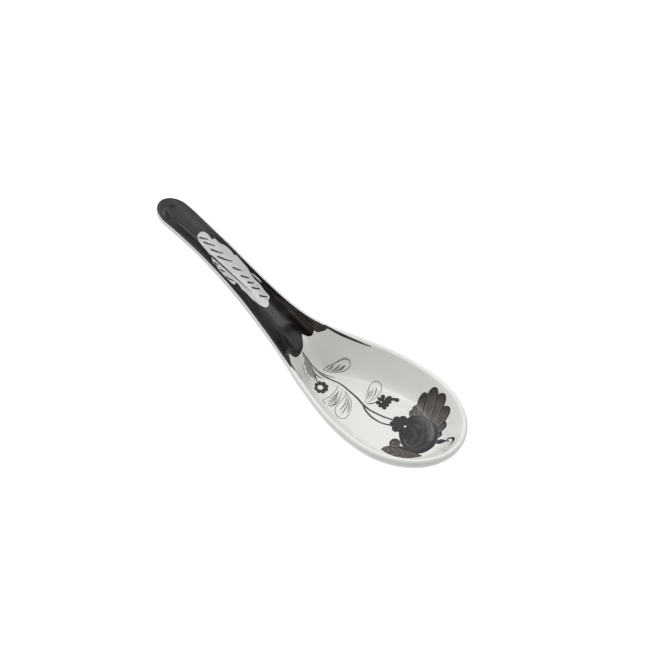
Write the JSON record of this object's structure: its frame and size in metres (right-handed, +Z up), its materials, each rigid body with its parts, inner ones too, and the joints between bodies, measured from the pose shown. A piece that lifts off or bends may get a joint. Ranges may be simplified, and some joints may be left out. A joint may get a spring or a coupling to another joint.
{
  "type": "porcelain soup spoon",
  "caption": "Glazed porcelain soup spoon with a flat-bottomed boat-shaped bowl, a grooved rising handle and dark fired botanical decoration.",
  "frame": {"origin": "centre of the flat foot under the bowl, on the surface the spoon stands on", "axes": "+X from the handle's tip to the bowl's end, +Z up, +Y across"},
  "size_m": [0.14, 0.0438, 0.0511],
  "materials": {
    "porcelain": "clear gloss glaze",
    "black_enamel": "gloss, brushed",
    "blue_black_enamel": "gloss, brushed",
    "brown_grey_enamel": "gloss, brushed",
    "grey_enamel": "gloss, thin wash"
  },
  "bodies": {
    "root": {"porcelain_body": "porcelain", "handle_ground": "black_enamel", "far_rim_line": "black_enamel", "near_rim_line": "black_enamel", "feather_barbs": "black_enamel", "feather_quill": "black_enamel", "main_stem": "brown_grey_enamel", "stem_foliage": "grey_enamel", "upper_leaf": "grey_enamel", "fork_leaf": "grey_enamel", "long_hanging_leaf": "grey_enamel", "short_hanging_leaf": "grey_enamel", "ring_blossom": "black_enamel", "twig_blossom": "black_enamel", "bloom_heart": "blue_black_enamel", "bloom_petals": "brown_grey_enamel", "bloom_collar": "blue_black_enamel", "lower_leaf": "brown_grey_enamel", "curled_sepal": "brown_grey_enamel", "end_bud": "blue_black_enamel"}
  },
  "joints": []
}
